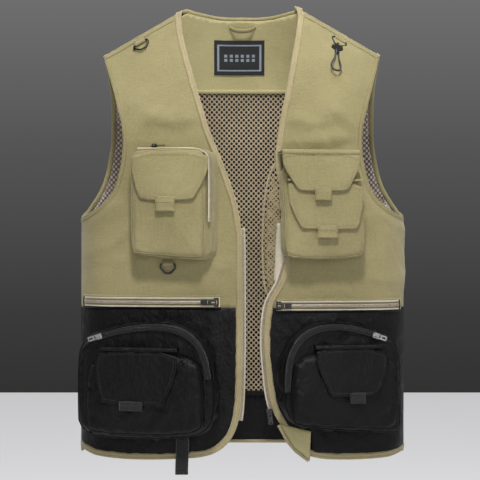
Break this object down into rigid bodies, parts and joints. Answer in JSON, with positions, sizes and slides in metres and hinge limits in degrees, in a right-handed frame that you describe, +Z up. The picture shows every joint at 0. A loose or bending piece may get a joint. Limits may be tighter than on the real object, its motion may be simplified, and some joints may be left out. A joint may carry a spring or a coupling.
{
  "type": "fishing vest",
  "caption": "Sleeveless fishing vest with mesh back lining, bellows chest pockets, cargo pockets, zips, flaps and D-rings.",
  "frame": {"origin": "midway between the two shoulder seams, at the level of a hanger's arms", "axes": "+Z up, the front faces -Y, +X towards the wearer's left"},
  "size_m": [0.5032, 0.2256, 0.7143],
  "materials": {
    "khaki_cloth": "plain-woven cotton-nylon cloth, matt",
    "khaki_binding": "folded bias binding, matt",
    "black_cloth": "fine nylon with a soft sheen",
    "black_webbing": "woven webbing",
    "mesh": "knitted open mesh",
    "pocketing": "thin pocketing cloth",
    "zip_tape": "woven zip tape with a coil",
    "label": "woven satin label",
    "gunmetal": "plated gunmetal",
    "nickel": "plated nickel",
    "black_plastic": "moulded",
    "black_cord": "braided elastic cord"
  },
  "bodies": {
    "vest_back": {"back_upper_panel": "khaki_cloth", "back_lower_panel": "black_cloth", "back_mesh_lining": "mesh", "back_yoke_facing": "khaki_cloth", "right_shoulder_panel": "khaki_cloth", "left_shoulder_panel": "khaki_cloth", "back_bindings": "khaki_binding", "neck_label": "label", "hanger_loop": "khaki_cloth", "shoulder_ring_tabs": "khaki_cloth"},
    "right_shoulder_ring": {"right_shoulder_ring": "gunmetal"},
    "left_shoulder_ring": {"left_shoulder_ring": "gunmetal"},
    "lanyard": {"lanyard_clasp": "black_plastic", "lanyard_cord": "black_cord"},
    "right_front": {"right_front_upper_panel": "khaki_cloth", "right_front_lower_panel": "black_cloth", "right_front_lining": "mesh", "right_front_binding": "khaki_binding", "right_zip_tape": "zip_tape", "right_chest_pocket": "khaki_cloth", "right_chest_patch_pocket": "khaki_cloth", "right_chest_zip_tape": "zip_tape", "chest_ring_tab": "khaki_cloth", "right_waist_zip_tape": "zip_tape", "right_waist_pocket_bag": "pocketing", "right_lower_pocket": "black_cloth", "right_lower_patch_pocket": "black_cloth", "right_lower_zip_tape": "black_cloth"},
    "left_front": {"left_front_upper_panel": "khaki_cloth", "left_front_lower_panel": "black_cloth", "left_front_lining": "mesh", "left_front_binding": "khaki_binding", "left_zip_tape": "zip_tape", "front_zip_box": "gunmetal", "left_chest_pocket": "khaki_cloth", "left_chest_outer_pocket": "khaki_cloth", "left_waist_zip_tape": "zip_tape", "left_waist_pocket_bag": "pocketing", "left_lower_pocket": "black_cloth", "left_lower_patch_pocket": "black_cloth", "left_lower_zip_tape": "black_cloth"},
    "right_chest_flap": {"right_chest_flap": "khaki_cloth"},
    "left_chest_upper_flap": {"left_chest_upper_flap": "khaki_cloth"},
    "left_chest_lower_flap": {"left_chest_lower_flap": "khaki_cloth"},
    "right_lower_flap": {"right_lower_flap": "black_cloth"},
    "left_lower_flap": {"left_lower_flap": "black_cloth"},
    "right_waist_slider": {"right_waist_zip_slider": "gunmetal"},
    "right_waist_puller": {"right_waist_zip_puller": "gunmetal"},
    "left_waist_slider": {"left_waist_zip_slider": "gunmetal"},
    "left_waist_puller": {"left_waist_zip_puller": "gunmetal"},
    "front_slider": {"front_zip_slider": "gunmetal"},
    "front_puller": {"front_zip_puller": "gunmetal"},
    "right_chest_slider": {"right_chest_zip_slider": "gunmetal"},
    "right_chest_puller": {"right_chest_zip_puller": "gunmetal"},
    "right_lower_slider": {"right_lower_zip_slider": "nickel"},
    "right_lower_puller": {"right_lower_zip_puller": "nickel"},
    "left_lower_slider": {"left_lower_zip_slider": "nickel"},
    "left_lower_puller": {"left_lower_zip_puller": "nickel"},
    "chest_ring": {"chest_ring": "gunmetal"},
    "hanging_strap": {"hanging_strap": "black_webbing"}
  },
  "joints": [
    {"name": "right_front_swing", "type": "hinge", "parent": "vest_back", "child": "right_front", "pos_m": [-0.2522, 0, -0.4], "axis": [0, 0, -1], "range_deg": [0, 30]},
    {"name": "left_front_swing", "type": "hinge", "parent": "vest_back", "child": "left_front", "pos_m": [0.2522, 0, -0.4], "axis": [0, 0, 1], "range_deg": [0, 30]},
    {"name": "right_chest_flap_lift", "type": "hinge", "parent": "right_front", "child": "right_chest_flap", "pos_m": [-0.10547, -0.11499, -0.19271], "axis": [-0.9925, 0.1219, 0], "range_deg": [0, 150]},
    {"name": "left_chest_upper_flap_lift", "type": "hinge", "parent": "left_front", "child": "left_chest_upper_flap", "pos_m": [0.12276, -0.11836, -0.19311], "axis": [-0.9912, -0.1323, 0], "range_deg": [0, 150]},
    {"name": "left_chest_lower_flap_lift", "type": "hinge", "parent": "left_front", "child": "left_chest_lower_flap", "pos_m": [0.12236, -0.11539, -0.23562], "axis": [-0.9912, -0.1323, 0], "range_deg": [0, 150]},
    {"name": "right_lower_flap_lift", "type": "hinge", "parent": "right_front", "child": "right_lower_flap", "pos_m": [-0.16056, -0.12003, -0.48682], "axis": [-0.9781, 0.2079, 0], "range_deg": [0, 150]},
    {"name": "left_lower_flap_lift", "type": "hinge", "parent": "left_front", "child": "left_lower_flap", "pos_m": [0.16256, -0.12053, -0.48273], "axis": [-0.9781, -0.2079, 0], "range_deg": [0, 150]},
    {"name": "right_waist_zip_run", "type": "hinge", "parent": "right_front", "child": "right_waist_slider", "pos_m": [0, 0.8549, -0.4173], "axis": [0, 0, -1], "range_deg": [0, 8]},
    {"name": "left_waist_zip_run", "type": "hinge", "parent": "left_front", "child": "left_waist_slider", "pos_m": [0, 0.8549, -0.4226], "axis": [0, 0, 1], "range_deg": [0, 7.2]},
    {"name": "right_waist_puller_lift", "type": "hinge", "parent": "right_waist_slider", "child": "right_waist_puller", "pos_m": [-0.05813, -0.08851, -0.4173], "axis": [0, 0, -1], "range_deg": [0, 165]},
    {"name": "left_waist_puller_lift", "type": "hinge", "parent": "left_waist_slider", "child": "left_waist_puller", "pos_m": [0.06868, -0.0878, -0.4226], "axis": [0, 0, 1], "range_deg": [0, 165]},
    {"name": "front_zip_run", "type": "slide", "parent": "left_front", "child": "front_slider", "axis": [-0.134, 0, 0.991], "range_m": [0, 0.096]},
    {"name": "front_puller_lift", "type": "hinge", "parent": "front_slider", "child": "front_puller", "pos_m": [0.0402, -0.08914, -0.5819], "axis": [-0.991, 0, -0.134], "range_deg": [0, 165]},
    {"name": "right_chest_zip_run", "type": "slide", "parent": "right_front", "child": "right_chest_slider", "axis": [0.9925, -0.1219, 0], "range_m": [0, 0.064]},
    {"name": "right_chest_puller_lift", "type": "hinge", "parent": "right_chest_slider", "child": "right_chest_puller", "pos_m": [-0.1314, -0.09881, -0.1828], "axis": [-0.1219, -0.9925, 0], "range_deg": [0, 165]},
    {"name": "right_lower_zip_run", "type": "hinge", "parent": "right_front", "child": "right_lower_slider", "pos_m": [-0.14258, -0.11128, -0.64283], "axis": [0.2079, 0.9781, 0], "range_deg": [0, 40.6]},
    {"name": "right_lower_puller_lift", "type": "hinge", "parent": "right_lower_slider", "child": "right_lower_puller", "pos_m": [-0.2147, -0.10137, -0.4676], "axis": [-0.286, 0.0608, 0.9563], "range_deg": [0, 165]},
    {"name": "left_lower_zip_run", "type": "hinge", "parent": "left_front", "child": "left_lower_slider", "pos_m": [0.14523, -0.11164, -0.56629], "axis": [0.2079, -0.9781, 0], "range_deg": [0, 56.6]},
    {"name": "left_lower_puller_lift", "type": "hinge", "parent": "left_lower_slider", "child": "left_lower_puller", "pos_m": [0.1989, -0.10565, -0.4658], "axis": [-0.3185, -0.0677, -0.9455], "range_deg": [0, 165]},
    {"name": "right_shoulder_ring_lift", "type": "hinge", "parent": "vest_back", "child": "right_shoulder_ring", "pos_m": [-0.15899, -0.01597, -0.0176], "axis": [-0.865, 0, -0.5017], "range_deg": [0, 140]},
    {"name": "left_shoulder_ring_lift", "type": "hinge", "parent": "vest_back", "child": "left_shoulder_ring", "pos_m": [0.15149, -0.01597, -0.01325], "axis": [-0.865, 0, 0.5017], "range_deg": [0, 90]},
    {"name": "lanyard_swing", "type": "hinge", "parent": "left_shoulder_ring", "child": "lanyard", "pos_m": [0.14647, -0.02428, -0.0219], "axis": [-0.865, 0, 0.5017], "range_deg": [0, 55]},
    {"name": "chest_ring_lift", "type": "hinge", "parent": "right_front", "child": "chest_ring", "pos_m": [-0.11211, -0.08171, -0.3599], "axis": [-0.9925, 0.1219, 0], "range_deg": [0, 110]},
    {"name": "strap_swing", "type": "hinge", "parent": "right_front", "child": "hanging_strap", "pos_m": [-0.0901, -0.0971, -0.62155], "axis": [-1, 0, 0], "range_deg": [-8, 80]}
  ],
  "couplings": [
    {"joint": "left_chest_lower_flap_lift", "follows": "left_chest_upper_flap_lift", "ratio": 1}
  ]
}
